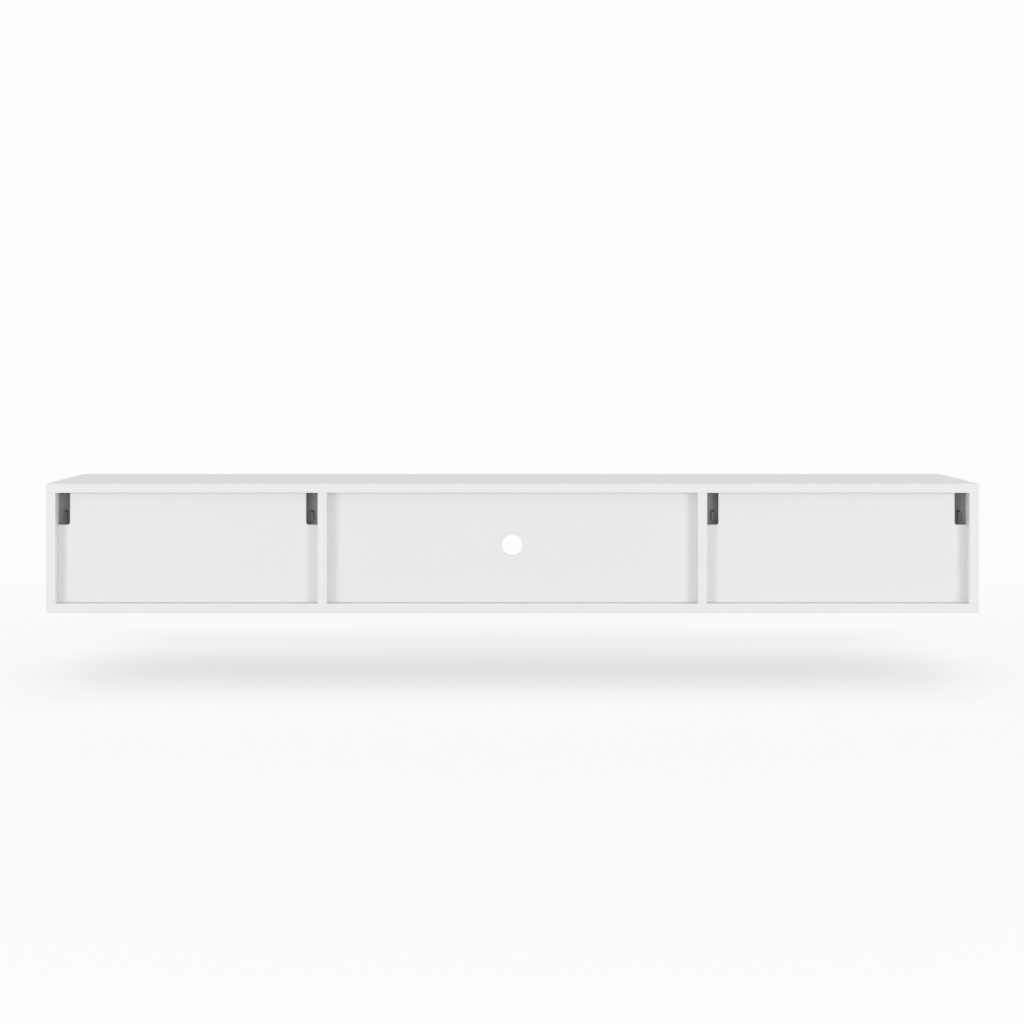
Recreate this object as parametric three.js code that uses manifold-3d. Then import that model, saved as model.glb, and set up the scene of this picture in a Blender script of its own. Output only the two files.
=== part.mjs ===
// Wall-hung media console: a boarded carcass of three bays with two drop flaps,
// soft-down stays, push latches and adjustable wall hangers.
// Millimetres. X runs along the console, -Y is its front, +Y faces the wall, +Z is up.
// The origin is the centre of the underside.

import * as THREE from 'three';
import { mergeVertices } from 'three/addons/utils/BufferGeometryUtils.js';
import Module from 'manifold-3d';

const wasm = await Module();
wasm.setup();

// Carcass
const overallWidth = 1800;
const overallDepth = 400;
const overallHeight = 250;
const boardThickness = 18;
const sideBayWidth = 506;
const boardArris = 0.6;

// Back panels, which slide in grooves
const backThickness = 6;
const backRecess = 24;
const grooveDepth = 5;
const grooveEndGap = 0.5;
const grooveRearGap = 0.6;
const cableHoleDiameter = 40;
const cableHoleHeight = 129;
const notchWidth = 24;
const notchHeight = 63;
const notchCornerRadius = 4.5;

// Clearances
const runningGap = 0.3;
const flapSideGap = 2;
const flapTopGap = 2;
const flapBottomGap = 2.5;
const cutOverrun = 2;

// Flap hinges
const hingeAboveFlapEdge = 18;
const pinRadius = 2.5;
const pinInBoard = 10;
const pinInFlap = 10;
const pinPoint = 0.8;
const collarRadius = 5;
const collarThickness = 1.2;
const bushRadius = 5;
const bushLength = 12;
const bushFlangeRadius = 6.5;
const bushFlangeThickness = 1;

// Flap stays: the bracket pivot is measured from the hinge, and so is the housing pivot
const bracketPivotBehindHinge = 26;
const bracketPivotAboveHinge = 100;
const housingPivotBehindHinge = 43;
const housingPivotAboveHinge = 36;
const leverThickness = 3;
const leverArris = 0.4;
const armHubRadius = 11;
const armEndRadius = 8;
const armSlotWidth = 5;
const armSlotLength = 44;
const linkEndRadius = 7;
const rivetRadius = 3;
const rivetHeadRadius = 5;
const rivetHeadThickness = 1.5;
const damperThickness = 14;
const damperHubRadius = 14;
const damperTailRadius = 9;
const damperLength = 44;
const damperArris = 1.5;
const damperPlateLength = 88;
const damperPlateHeight = 36;
const damperPlateThickness = 2.5;
const damperPlateCorner = 6;
const damperShaftRadius = 4.5;
const damperCapRadius = 7;
const damperCapThickness = 1.5;
const bracketPlateWidth = 30;
const bracketPlateHeight = 40;
const bracketPlateThickness = 2;
const bracketEarRadius = 8;
const screwHoleRadius = 2.2;
const screwHoleInset = 8;

// Push latches
const latchBarrelRadius = 8;
const latchAxisBelowTop = 10;
const latchLength = 52;
const latchSetBack = 8;
const latchFlangeWidth = 38;
const latchFlangeLength = 22;
const latchFlangeThickness = 3;
const plungerRadius = 4.5;
const plungerInBarrel = 36;
const plungerTravel = 3;
const plungerTipArris = 0.8;
const plungerTipRadius = 5.5;
const plungerTipLength = 2.6;
const strikeWidth = 24;
const strikeHeight = 13;
const strikeThickness = 1.5;
const strikeCorner = 2.5;
const strikeHoleRadius = 1.6;

// Wall hangers
const hangerWidth = 27;
const hangerLength = 48;
const hangerHeight = 68;
const hangerSetBack = 10;
const hangerWall = 3;
const hangerFrontWall = 5;
const hangerRearWall = 3;
const hangerCorner = 5;
const hangerArris = 0.8;
const screwBelowTop = 32;
const hookArmHeight = 9;
const hookArmThickness = 4;
const hookBlockLength = 10;
const hookBlockHeight = 16;
const hookBlockSetBack = 5;
const hookArmBelowScrew = 4;
const hookNoseThickness = 5;
const hookNoseDrop = 11;
const hookNoseProud = 6;
const screwRadius = 2.5;
const screwHeadRadius = 4.5;
const screwHeadThickness = 3;
const screwHeadChamfer = 0.6;
const screwHeadSunk = 0.5;
const screwEndInset = 1.5;
const screwRecessWidth = 1.2;
const screwRecessLength = 5;
const screwRecessDepth = 1.6;

// Facets
const arcSteps = 5;
const cornerSteps = 2;
const roundSteps = 18;
const holeSteps = 48;

// Finishes
function finish(color, roughness, metalness) {
  return new THREE.MeshStandardMaterial({ color, roughness, metalness });
}
const whiteBoard = finish(0xf0f1ef, 0.42, 0);
const whiteBack = finish(0xeeefed, 0.5, 0);
const greyPlastic = finish(0x55585a, 0.6, 0);
const palePlastic = finish(0xd9dbd8, 0.5, 0);
const steel = finish(0xb9bbbd, 0.34, 1);
const darkSteel = finish(0x4c4e50, 0.45, 0.9);

// Derived levels of the carcass
const rear = overallDepth / 2;
const front = -rear;
const innerTop = overallHeight - boardThickness;
const innerBottom = boardThickness;
const outerWall = overallWidth / 2 - boardThickness;
const dividerOuter = outerWall - sideBayWidth;
const dividerInner = dividerOuter - boardThickness;
const sideBayCentre = (outerWall + dividerOuter) / 2;
const backOuterFace = rear - backRecess;
const backInnerFace = backOuterFace - backThickness;
const grooveFront = backInnerFace - runningGap;
const grooveRear = backOuterFace + grooveRearGap;
const backTongue = grooveDepth - grooveEndGap;

// Derived places of the flap and its stay
const flapThickness = boardThickness;
const flapBack = front + flapThickness;
const flapBottom = innerBottom + flapBottomGap;
const flapTop = innerTop - flapTopGap;
const hingeY = front + flapThickness / 2;
const hingeZ = flapBottom + hingeAboveFlapEdge;
const bracketPivot = new THREE.Vector2(hingeY + bracketPivotBehindHinge, hingeZ + bracketPivotAboveHinge);
const housingPivot = new THREE.Vector2(hingeY + housingPivotBehindHinge, hingeZ + housingPivotAboveHinge);
const armPivot = new THREE.Vector2(
  housingPivot.x + bracketPivotBehindHinge,
  housingPivot.y + bracketPivotAboveHinge,
);
const armLength = Math.hypot(bracketPivotBehindHinge, bracketPivotAboveHinge);
const armAngle = Math.atan2(bracketPivotAboveHinge, bracketPivotBehindHinge);
const linkLength = Math.hypot(housingPivotBehindHinge, housingPivotAboveHinge);
const linkAngle = Math.atan2(housingPivotAboveHinge, housingPivotBehindHinge) + Math.PI;
const armFrom = damperThickness + runningGap;
const armTo = armFrom + leverThickness;
const linkFrom = armTo + runningGap;
const linkTo = linkFrom + leverThickness;

// Derived places of the latch, from the back of the flap
const plungerEnd = latchSetBack + plungerInBarrel;

// Derived places of the hanger, from its rear upper corner
const headRear = screwHeadSunk + screwHeadThickness - hangerLength;
const hookBlockFront = hangerFrontWall + hookBlockSetBack - hangerLength;
const hookBlockTop = hookBlockHeight / 2 - screwBelowTop;
const hookArmTop = -screwBelowTop - hookArmBelowScrew;
const hookArmBottom = hookArmTop - hookArmHeight;

// Turns a shape's own X, Y and Z onto the model's axes
const acrossX = new THREE.Matrix4().makeBasis(
  new THREE.Vector3(0, 1, 0),
  new THREE.Vector3(0, 0, 1),
  new THREE.Vector3(1, 0, 0),
);
const alongY = new THREE.Matrix4().makeBasis(
  new THREE.Vector3(0, 0, 1),
  new THREE.Vector3(1, 0, 0),
  new THREE.Vector3(0, 1, 0),
);

// A closed mesh as a solid that can be joined and cut
function solid(geometry) {
  geometry.deleteAttribute('normal');
  geometry.deleteAttribute('uv');
  const merged = mergeVertices(geometry);
  return new wasm.Manifold(new wasm.Mesh({
    numProp: 3,
    vertProperties: merged.attributes.position.array,
    triVerts: new Uint32Array(merged.index.array),
  }));
}

// A solid as a geometry for a mesh
function geometryOf(body) {
  const mesh = body.getMesh();
  const geometry = new THREE.BufferGeometry();
  geometry.setAttribute('position', new THREE.BufferAttribute(mesh.vertProperties, 3));
  geometry.setIndex(new THREE.BufferAttribute(mesh.triVerts, 1));
  geometry.computeVertexNormals();
  return geometry;
}

// Extrudes an outline from one level to another, its rim eased where an arris is given
function extruded(outline, from, to, arris = 0, steps = arcSteps) {
  const low = Math.min(from, to);
  const span = Math.abs(to - from);
  const geometry = new THREE.ExtrudeGeometry(outline, {
    depth: span - 2 * arris,
    bevelEnabled: arris > 0,
    bevelThickness: arris,
    bevelSize: arris,
    bevelOffset: -arris,
    bevelSegments: 1,
    curveSegments: steps,
  });
  return geometry.translate(0, 0, low + arris);
}

// An outline in (y, z) taken along X
function across(outline, fromX, toX, arris = 0, steps = arcSteps) {
  return solid(extruded(outline, fromX, toX, arris, steps).applyMatrix4(acrossX));
}

// An outline in (z, x) taken along Y
function through(outline, fromY, toY, arris = 0, steps = arcSteps) {
  return solid(extruded(outline, fromY, toY, arris, steps).applyMatrix4(alongY));
}

function rectangle(x0, y0, x1, y1) {
  const outline = new THREE.Shape();
  outline.moveTo(x0, y0);
  outline.lineTo(x1, y0);
  outline.lineTo(x1, y1);
  outline.lineTo(x0, y1);
  return outline;
}

// A rectangle whose corners are cut off by the arris
function easedRectangle(x0, y0, x1, y1, arris) {
  const outline = new THREE.Shape();
  outline.moveTo(x0 + arris, y0);
  outline.lineTo(x1 - arris, y0);
  outline.lineTo(x1, y0 + arris);
  outline.lineTo(x1, y1 - arris);
  outline.lineTo(x1 - arris, y1);
  outline.lineTo(x0 + arris, y1);
  outline.lineTo(x0, y1 - arris);
  outline.lineTo(x0, y0 + arris);
  return outline;
}

function roundedRectangle(x0, y0, x1, y1, radius) {
  const quarter = Math.PI / 2;
  const outline = new THREE.Shape();
  outline.absarc(x1 - radius, y0 + radius, radius, -quarter, 0, false);
  outline.absarc(x1 - radius, y1 - radius, radius, 0, quarter, false);
  outline.absarc(x0 + radius, y1 - radius, radius, quarter, 2 * quarter, false);
  outline.absarc(x0 + radius, y0 + radius, radius, 2 * quarter, 3 * quarter, false);
  return outline;
}

// A lever's outline: two round ends joined by their common tangents
function lever(length, startRadius, endRadius) {
  const tangent = Math.acos((startRadius - endRadius) / length);
  const outline = new THREE.Shape();
  outline.absarc(0, 0, startRadius, tangent, 2 * Math.PI - tangent, false);
  outline.absarc(length, 0, endRadius, -tangent, tangent, false);
  return outline;
}

// A round hole in an outline, as two half turns
function roundHole(x, y, radius) {
  const hole = new THREE.Path();
  hole.absarc(x, y, radius, 0, -Math.PI, true);
  hole.absarc(x, y, radius, Math.PI, 0, true);
  return hole;
}

// A box between two corners
function block(x0, y0, z0, x1, y1, z1) {
  const geometry = new THREE.BoxGeometry(Math.abs(x1 - x0), Math.abs(y1 - y0), Math.abs(z1 - z0));
  return solid(geometry.translate((x0 + x1) / 2, (y0 + y1) / 2, (z0 + z1) / 2));
}

// A board with every arris eased
function board(x0, y0, z0, x1, y1, z1) {
  const outline = easedRectangle(y0, z0, y1, z1, boardArris);
  return across(outline, x0, x1, boardArris);
}

// A revolved profile stands on Y, and these turns lay it on each axis
const axisTurns = { x: alongY, y: new THREE.Matrix4(), z: acrossX };

// A turned solid, from pairs of radius and place on its axis
function turned(profile, turnedAxis, steps = roundSteps) {
  const points = profile.map(([radius, place]) => new THREE.Vector2(radius, place));
  if (THREE.ShapeUtils.area(points) < 0) points.reverse();
  const geometry = new THREE.LatheGeometry(points, steps);
  return solid(geometry.applyMatrix4(axisTurns[turnedAxis]));
}

function rod(radius, from, to, turnedAxis, steps = roundSteps) {
  return turned([[0, from], [radius, from], [radius, to], [0, to]], turnedAxis, steps);
}

// Adds a named mesh to a group, at a place in that group
function place(group, name, body, material, x = 0, y = 0, z = 0) {
  const mesh = new THREE.Mesh(geometryOf(body), material);
  mesh.name = name;
  mesh.position.set(x, y, z);
  group.add(mesh);
}

// The groove that holds a back panel between two levels, on both ends of a bay
function grooveAlong(fromX, toX, fromZ, toZ) {
  return block(fromX, grooveFront, fromZ, toX, grooveRear, toZ);
}

// Top and bottom panels, with one stopped groove for each bay
function lyingPanel(fromZ, toZ, grooveFromZ, grooveToZ) {
  let panel = board(-overallWidth / 2, front, fromZ, overallWidth / 2, rear, toZ);
  const bays = [
    [-outerWall, -dividerOuter],
    [-dividerInner, dividerInner],
    [dividerOuter, outerWall],
  ];
  for (const [fromX, toX] of bays) {
    panel = panel.subtract(grooveAlong(fromX - grooveDepth, toX + grooveDepth, grooveFromZ, grooveToZ));
  }
  return panel;
}

// Uprights, with a groove over their whole height on each face that meets a back
// and a socket for the hinge pin on each face that carries a flap
function upright(fromX, toX, groovedFaces, hingedFace) {
  let panel = board(fromX, front, innerBottom, toX, rear, innerTop);
  for (const [faceX, inward] of groovedFaces) {
    const bottomX = faceX - inward * grooveDepth;
    const mouthX = faceX + inward * cutOverrun;
    const groove = grooveAlong(bottomX, mouthX, innerBottom - cutOverrun, innerTop + cutOverrun);
    panel = panel.subtract(groove);
  }
  const [faceX, inward] = hingedFace;
  const socketDepth = pinInBoard + runningGap;
  const socket = rod(pinRadius + runningGap, faceX - inward * socketDepth, faceX + inward * cutOverrun, 'x');
  return panel.subtract(socket.translate([0, hingeY, hingeZ]));
}

function addCarcass(group) {
  const top = lyingPanel(innerTop, overallHeight, innerTop - cutOverrun, innerTop + grooveDepth);
  const bottom = lyingPanel(0, innerBottom, innerBottom - grooveDepth, innerBottom + cutOverrun);
  place(group, 'top_panel', top, whiteBoard);
  place(group, 'bottom_panel', bottom, whiteBoard);
  for (const [name, side] of [['left', -1], ['right', 1]]) {
    const wall = [side * outerWall, -side];
    const outside = [side * dividerOuter, side];
    const inside = [side * dividerInner, -side];
    const sidePanel = upright(side * outerWall, side * overallWidth / 2, [wall], wall);
    const divider = upright(side * dividerInner, side * dividerOuter, [outside, inside], outside);
    place(group, `${name}_side_panel`, sidePanel, whiteBoard);
    place(group, `${name}_divider`, divider, whiteBoard);
  }
}

// A back panel that reaches into the grooves all round
function backPanel(fromX, toX) {
  return block(
    fromX - backTongue, backInnerFace, innerBottom - backTongue,
    toX + backTongue, backOuterFace, innerTop + backTongue,
  );
}

// The corner cut-out for a hanger, with its free lower corner rounded
function hangerNotch(wallX, inward) {
  const outX = wallX - inward * (backTongue + cutOverrun);
  const freeX = wallX + inward * notchWidth;
  const low = innerTop - notchHeight;
  const high = innerTop + backTongue + cutOverrun;
  const outline = new THREE.Shape();
  outline.moveTo(low, outX);
  outline.lineTo(high, outX);
  outline.lineTo(high, freeX);
  outline.lineTo(low + notchCornerRadius, freeX);
  const centre = new THREE.Vector2(low + notchCornerRadius, freeX - inward * notchCornerRadius);
  const start = inward * Math.PI / 2;
  outline.absarc(centre.x, centre.y, notchCornerRadius, start, Math.PI * inward, inward < 0);
  return through(outline, backInnerFace - cutOverrun, backOuterFace + cutOverrun);
}

function addBacks(group) {
  const hole = rod(
    cableHoleDiameter / 2, backInnerFace - cutOverrun, backOuterFace + cutOverrun, 'y', holeSteps,
  );
  const middle = backPanel(-dividerInner, dividerInner);
  place(group, 'centre_back_panel', middle.subtract(hole.translate([0, 0, cableHoleHeight])), whiteBack);
  for (const [name, side] of [['left', -1], ['right', 1]]) {
    const fromX = Math.min(side * outerWall, side * dividerOuter);
    const toX = Math.max(side * outerWall, side * dividerOuter);
    const panel = backPanel(fromX, toX)
      .subtract(hangerNotch(fromX, 1))
      .subtract(hangerNotch(toX, -1));
    place(group, `${name}_back_panel`, panel, whiteBack);
  }
}

// The parts of one bay are placed from its centre: wall is where a wall stands,
// and inward is +1 or -1, away from that wall

// Flap, built from its hinge axis
function flapBoard() {
  const half = sideBayWidth / 2 - flapSideGap;
  let leaf = board(-half, front - hingeY, flapBottom - hingeZ, half, flapBack - hingeY, flapTop - hingeZ);
  for (const end of [-half, half]) {
    const inward = -Math.sign(end);
    const seat = rod(
      bushRadius + runningGap, end - inward * cutOverrun, end + inward * (bushLength + runningGap), 'x',
    );
    const rebate = rod(
      bushFlangeRadius + runningGap, end - inward * cutOverrun, end + inward * bushFlangeThickness, 'x',
    );
    leaf = leaf.subtract(seat).subtract(rebate);
  }
  return leaf;
}

// Pin with a collar that seats on the upright and a pointed lead
function hingePin(wall, inward) {
  const at = (offset) => wall + inward * offset;
  const tip = flapSideGap + pinInFlap;
  return turned([
    [0, at(-pinInBoard)],
    [pinRadius, at(-pinInBoard)],
    [pinRadius, at(0)],
    [collarRadius, at(0)],
    [collarRadius, at(collarThickness)],
    [pinRadius, at(collarThickness)],
    [pinRadius, at(tip - pinPoint)],
    [pinRadius - pinPoint, at(tip)],
    [0, at(tip)],
  ], 'x');
}

// Flanged bush in the end of the flap
function hingeBush(wall, inward) {
  const at = (offset) => wall + inward * (flapSideGap + offset);
  const bore = pinRadius + runningGap;
  return turned([
    [bore, at(0)],
    [bushFlangeRadius, at(0)],
    [bushFlangeRadius, at(bushFlangeThickness)],
    [bushRadius, at(bushFlangeThickness)],
    [bushRadius, at(bushLength)],
    [bore, at(bushLength)],
    [bore, at(0)],
  ], 'x');
}

// Stay: damper housing, built from its pivot, with the shaft that carries the arm
function stayHousing(wall, inward) {
  const at = (offset) => wall + inward * offset;
  const plateFront = -damperHubRadius - damperPlateThickness;
  const plateRear = plateFront + damperPlateLength;
  const half = damperPlateHeight / 2;
  const footprint = roundedRectangle(plateFront, -half, plateRear, half, damperPlateCorner);
  const plate = across(footprint, at(0), at(damperPlateThickness), 0, cornerSteps);
  const outline = lever(damperLength, damperHubRadius, damperTailRadius);
  const body = across(outline, at(0), at(damperThickness), damperArris);
  const shaft = rod(damperShaftRadius, at(damperThickness - damperArris), at(linkFrom), 'x');
  const cap = rod(damperCapRadius, at(linkFrom), at(linkFrom + damperCapThickness), 'x');
  let housing = plate.add(body).add(shaft).add(cap);
  for (const height of [screwHoleInset - half, half - screwHoleInset]) {
    const hole = rod(screwHoleRadius, at(-cutOverrun), at(damperPlateThickness + cutOverrun), 'x');
    housing = housing.subtract(hole.translate([0, plateRear - screwHoleInset, height]));
  }
  return housing;
}

// Stay arm, built from the damper shaft
function stayArm(wall, inward) {
  const at = (offset) => wall + inward * offset;
  const outline = lever(armLength, armHubRadius, armEndRadius);
  const hub = roundHole(0, 0, damperShaftRadius + runningGap);
  const end = roundHole(armLength, 0, rivetRadius + runningGap);
  const slot = new THREE.Path();
  const slotFrom = (armLength - armSlotLength + armSlotWidth) / 2;
  const slotTo = (armLength + armSlotLength - armSlotWidth) / 2;
  slot.absarc(slotFrom, 0, armSlotWidth / 2, -Math.PI / 2, Math.PI / 2, true);
  slot.absarc(slotTo, 0, armSlotWidth / 2, Math.PI / 2, -Math.PI / 2, true);
  outline.holes.push(hub, end, slot);
  const geometry = extruded(outline, at(armFrom), at(armTo));
  return solid(geometry.rotateZ(armAngle).applyMatrix4(acrossX));
}

// Stay link, built from its pivot on the arm, with its two riveted pins
function stayLink(wall, inward) {
  const at = (offset) => wall + inward * offset;
  const outline = lever(linkLength, linkEndRadius, linkEndRadius);
  const geometry = extruded(outline, at(linkFrom), at(linkTo), leverArris);
  let link = solid(geometry.rotateZ(linkAngle).applyMatrix4(acrossX));
  const headTo = armFrom - runningGap;
  const rivet = rod(rivetRadius, at(headTo), at(linkFrom + leverArris), 'x')
    .add(rod(rivetHeadRadius, at(headTo - rivetHeadThickness), at(headTo), 'x'));
  const far = [0, linkLength * Math.cos(linkAngle), linkLength * Math.sin(linkAngle)];
  link = link.add(rivet).add(rivet.translate(far));
  return link;
}

// Stay bracket, built from its pivot: an ear that stands off the flap and a screwed plate
function stayBracket(wall, inward) {
  const at = (offset) => wall + inward * offset;
  const seat = flapBack - bracketPivot.x;
  const half = bracketPlateHeight / 2;
  const outline = new THREE.Shape();
  outline.moveTo(seat, half);
  outline.lineTo(seat, -half);
  outline.absarc(0, 0, bracketEarRadius, -Math.PI / 3, Math.PI / 3, false);
  outline.holes.push(roundHole(0, 0, rivetRadius + runningGap));
  const ear = across(outline, at(armFrom), at(armTo));
  const plateTo = armFrom + bracketPlateWidth;
  const plate = block(
    at(armFrom), seat, -half,
    at(plateTo), seat + bracketPlateThickness, half,
  );
  let bracket = ear.add(plate);
  for (const height of [screwHoleInset - half, half - screwHoleInset]) {
    const hole = rod(screwHoleRadius, seat - cutOverrun, seat + bracketPlateThickness + cutOverrun, 'y');
    bracket = bracket.subtract(hole.translate([at(plateTo - screwHoleInset), 0, height]));
  }
  return bracket;
}

function addStay(bay, name, wall, inward) {
  const [housingY, housingZ] = housingPivot;
  const [armY, armZ] = armPivot;
  const [bracketY, bracketZ] = bracketPivot;
  place(bay, `${name}_stay_housing`, stayHousing(wall, inward), greyPlastic, 0, housingY, housingZ);
  place(bay, `${name}_stay_arm`, stayArm(wall, inward), steel, 0, housingY, housingZ);
  place(bay, `${name}_stay_link`, stayLink(wall, inward), steel, 0, armY, armZ);
  place(bay, `${name}_stay_bracket`, stayBracket(wall, inward), steel, 0, bracketY, bracketZ);
}

// Push latch under the top panel, built from the plunger's axis at the back of the flap
function latchHousing() {
  const barrelRear = latchSetBack + latchLength;
  const middle = (latchSetBack + barrelRear) / 2;
  const flangeLow = latchAxisBelowTop - latchFlangeThickness;
  const boreEnd = plungerEnd + plungerTravel + runningGap;
  const saddle = block(
    -latchBarrelRadius, latchSetBack, 0,
    latchBarrelRadius, barrelRear, latchAxisBelowTop,
  );
  const flange = through(
    rectangle(flangeLow, -latchFlangeWidth / 2, latchAxisBelowTop, latchFlangeWidth / 2),
    middle - latchFlangeLength / 2, middle + latchFlangeLength / 2,
  );
  let housing = rod(latchBarrelRadius, latchSetBack, barrelRear, 'y').add(saddle).add(flange);
  housing = housing.subtract(rod(plungerRadius + runningGap, latchSetBack - cutOverrun, boreEnd, 'y'));
  for (const end of [-1, 1]) {
    const hole = rod(screwHoleRadius, flangeLow - cutOverrun, latchAxisBelowTop + cutOverrun, 'z');
    const holeX = end * (latchFlangeWidth + 2 * latchBarrelRadius) / 4;
    housing = housing.subtract(hole.translate([holeX, middle, 0]));
  }
  return housing;
}

function latchPlunger() {
  const tipRear = strikeThickness + runningGap + plungerTipLength;
  const tipFront = strikeThickness + runningGap;
  return turned([
    [0, tipFront],
    [plungerTipRadius - plungerTipArris, tipFront],
    [plungerTipRadius, tipFront + plungerTipArris],
    [plungerTipRadius, tipRear],
    [plungerRadius, tipRear],
    [plungerRadius, plungerEnd],
    [0, plungerEnd],
  ], 'y');
}

function latchStrike() {
  const outline = roundedRectangle(
    -strikeHeight / 2, -strikeWidth / 2, strikeHeight / 2, strikeWidth / 2, strikeCorner,
  );
  for (const end of [-1, 1]) {
    const holeX = end * (strikeWidth / 2 - strikeCorner - strikeHoleRadius);
    outline.holes.push(roundHole(0, holeX, strikeHoleRadius));
  }
  return through(outline, 0, strikeThickness, 0, cornerSteps);
}

function addLatch(bay, name) {
  const axisZ = innerTop - latchAxisBelowTop;
  place(bay, `${name}_latch_housing`, latchHousing(), palePlastic, 0, flapBack, axisZ);
  place(bay, `${name}_latch_plunger`, latchPlunger(), greyPlastic, 0, flapBack, axisZ);
  place(bay, `${name}_latch_strike`, latchStrike(), steel, 0, flapBack, axisZ);
}

// Wall hanger, built from its rear upper corner on the wall of the bay: a case with
// bearings for the tension screw at both ends and a slot for the arm of the hook
function hangerHousing(wall, inward) {
  const at = (offset) => wall + inward * offset;
  const outline = roundedRectangle(-hangerLength, -hangerHeight, 0, 0, hangerCorner);
  const shell = across(outline, at(0), at(hangerWidth), hangerArris, cornerSteps);
  const cavity = block(
    at(hangerWall), hangerFrontWall - hangerLength, hookArmBottom - runningGap,
    at(hangerWidth - hangerWall), -hangerRearWall, hookBlockTop + runningGap,
  );
  const slotHalf = hookArmThickness / 2 + runningGap;
  const slot = block(
    at(hangerWidth / 2 - slotHalf), -hangerRearWall - cutOverrun, hookArmBottom - runningGap,
    at(hangerWidth / 2 + slotHalf), cutOverrun, hookArmTop + runningGap,
  );
  const boreRear = runningGap - screwEndInset;
  const bore = rod(screwRadius + runningGap, -hangerLength - cutOverrun, boreRear, 'y');
  const headSeat = rod(screwHeadRadius + runningGap, -hangerLength - cutOverrun, headRear + runningGap, 'y');
  const screwPlace = [at(hangerWidth / 2), 0, -screwBelowTop];
  return shell
    .subtract(cavity)
    .subtract(slot)
    .subtract(bore.translate(screwPlace))
    .subtract(headSeat.translate(screwPlace));
}

// Hook: a nut block on the tension screw and an arm with a turned-down nose
function hangerHook(wall, inward) {
  const at = (offset) => wall + inward * offset;
  const middle = hangerWidth / 2;
  const blockHalf = middle - hangerWall - runningGap;
  const noseFront = hookNoseProud - hookNoseThickness;
  const noseTip = hookArmBottom - hookNoseDrop;
  const outline = new THREE.Shape();
  outline.moveTo(hookBlockFront, hookArmBottom);
  outline.lineTo(noseFront, hookArmBottom);
  outline.lineTo(noseFront, noseTip + hookNoseThickness / 2);
  outline.lineTo(noseFront + hookNoseThickness / 2, noseTip);
  outline.lineTo(hookNoseProud, noseTip);
  outline.lineTo(hookNoseProud, hookArmTop - hookNoseThickness / 2);
  outline.lineTo(hookNoseProud - hookNoseThickness / 2, hookArmTop);
  outline.lineTo(hookBlockFront, hookArmTop);
  const arm = across(outline, at(middle - hookArmThickness / 2), at(middle + hookArmThickness / 2));
  const nut = block(
    at(middle - blockHalf), hookBlockFront, hookBlockTop - hookBlockHeight,
    at(middle + blockHalf), hookBlockFront + hookBlockLength, hookBlockTop,
  );
  const bore = rod(screwRadius + runningGap, -hangerLength, 0, 'y');
  return arm.add(nut).subtract(bore.translate([at(middle), 0, -screwBelowTop]));
}

// Tension screw, built on its own axis, with a cross recess in its head
function hangerScrew() {
  const headFront = headRear - screwHeadThickness;
  const screw = turned([
    [0, headFront],
    [screwHeadRadius - screwHeadChamfer, headFront],
    [screwHeadRadius, headFront + screwHeadChamfer],
    [screwHeadRadius, headRear],
    [screwRadius, headRear],
    [screwRadius, -screwEndInset],
    [0, -screwEndInset],
  ], 'y');
  const recess = (halfX, halfZ) => block(
    -halfX, headFront - cutOverrun, -halfZ,
    halfX, headFront + screwRecessDepth, halfZ,
  );
  return screw
    .subtract(recess(screwRecessWidth / 2, screwRecessLength / 2))
    .subtract(recess(screwRecessLength / 2, screwRecessWidth / 2));
}

function addHanger(bay, name, wall, inward) {
  const rearY = backInnerFace - hangerSetBack;
  const screwX = wall + inward * hangerWidth / 2;
  const screwZ = innerTop - screwBelowTop;
  place(bay, `${name}_hanger_housing`, hangerHousing(wall, inward), greyPlastic, 0, rearY, innerTop);
  place(bay, `${name}_hanger_hook`, hangerHook(wall, inward), darkSteel, 0, rearY, innerTop);
  place(bay, `${name}_hanger_screw`, hangerScrew(), steel, screwX, rearY, screwZ);
}

function addHinge(bay, name, wall, inward) {
  place(bay, `${name}_hinge_pin`, hingePin(wall, inward), steel, 0, hingeY, hingeZ);
  place(bay, `${name}_hinge_bush`, hingeBush(wall, inward), palePlastic, 0, hingeY, hingeZ);
}

// One side bay: its flap and latch, and the fittings on both of its walls
function addBay(group, name, side) {
  const bay = new THREE.Group();
  bay.position.x = side * sideBayCentre;
  place(bay, `${name}_flap`, flapBoard(), whiteBoard, 0, hingeY, hingeZ);
  addLatch(bay, name);
  for (const [edge, direction] of [['outer', side], ['inner', -side]]) {
    const wall = direction * sideBayWidth / 2;
    const inward = -direction;
    addHinge(bay, `${name}_${edge}`, wall, inward);
    addStay(bay, `${name}_${edge}`, wall, inward);
    addHanger(bay, `${name}_${edge}`, wall, inward);
  }
  group.add(bay);
}

const mediaConsole = new THREE.Group();
addCarcass(mediaConsole);
addBacks(mediaConsole);
addBay(mediaConsole, 'left', -1);
addBay(mediaConsole, 'right', 1);

export default mediaConsole;
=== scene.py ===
"""Looks and studio for a wall-hung media console.

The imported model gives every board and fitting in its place, in metres: X along the console, -Y its front,
+Y the wall, Z up. This file gives them their finishes, adds the small fasteners, and sets up the studio.
"""

import math
from collections import namedtuple

import bmesh
import bpy
from bpy.props import FloatProperty, FloatVectorProperty, IntProperty, PointerProperty
from mathutils import Matrix, Vector


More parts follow.
